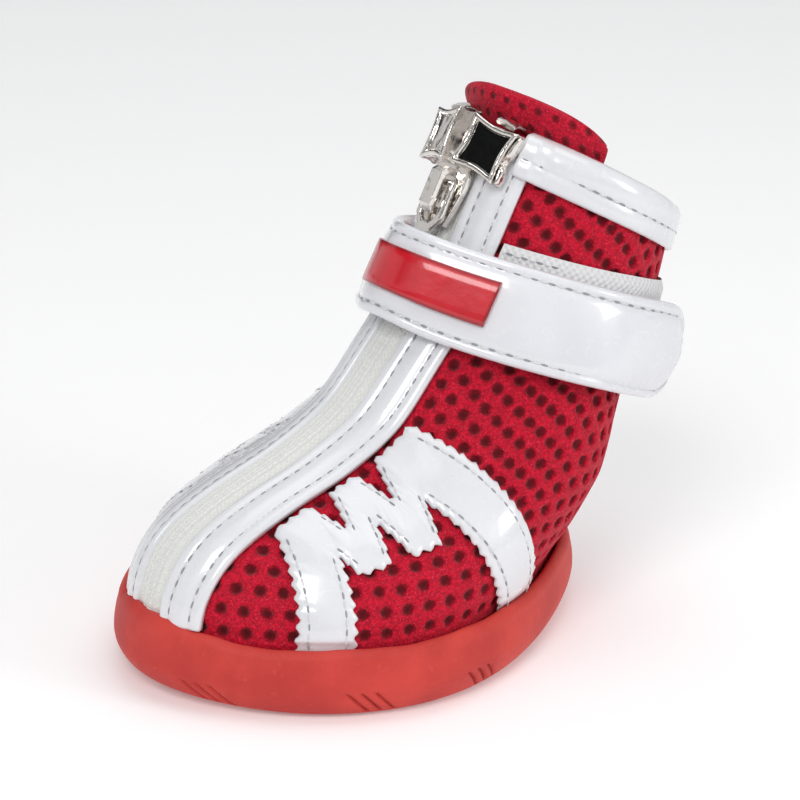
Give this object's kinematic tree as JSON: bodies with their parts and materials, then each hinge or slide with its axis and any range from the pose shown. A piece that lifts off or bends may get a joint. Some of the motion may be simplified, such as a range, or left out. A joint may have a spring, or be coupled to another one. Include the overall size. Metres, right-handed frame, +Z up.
{
  "type": "dog boot",
  "caption": "Small dog boot with an air-mesh upper, cup sole, zip up the front, collar binding, tongue and an ankle strap that closes over the zip.",
  "frame": {"origin": "middle of the sole's flat bottom, half way along its length, on the floor", "axes": "+X to the toe, +Y to the boot's left, +Z up"},
  "size_m": [0.0604, 0.0388, 0.0533],
  "materials": {
    "red_rubber": "matt orange-red moulded rubber",
    "grey_lining": "soft grey footbed cloth",
    "red_mesh": "deep red air mesh with small staggered holes",
    "white_tape": "white woven tape",
    "white_patent": "glossy white patent",
    "nickel": "polished nickel",
    "red_label": "glossy red, left bare"
  },
  "bodies": {
    "boot": {"outsole": "red_rubber", "insole": "grey_lining", "upper_shell": "red_mesh", "tongue": "red_mesh", "zip_tape": "white_tape", "front_strip_left": "white_patent", "front_strip_right": "white_patent", "side_overlay_left": "white_patent", "side_overlay_right": "white_patent", "zip_cap_left": "nickel", "zip_cap_right": "nickel", "zip_slider": "nickel", "collar_binding": "white_patent", "loop_tape": "white_tape", "ankle_strap": "white_patent", "strap_label": "red_label"},
    "pull_tab": {"pull_tab": "nickel"}
  },
  "joints": [
    {"name": "pull_tab_hinge", "type": "hinge", "parent": "boot", "child": "pull_tab", "pos_m": [-0.00919, 0, 0.04427], "axis": [0, -1, 0], "range_deg": [-3, 1]}
  ]
}
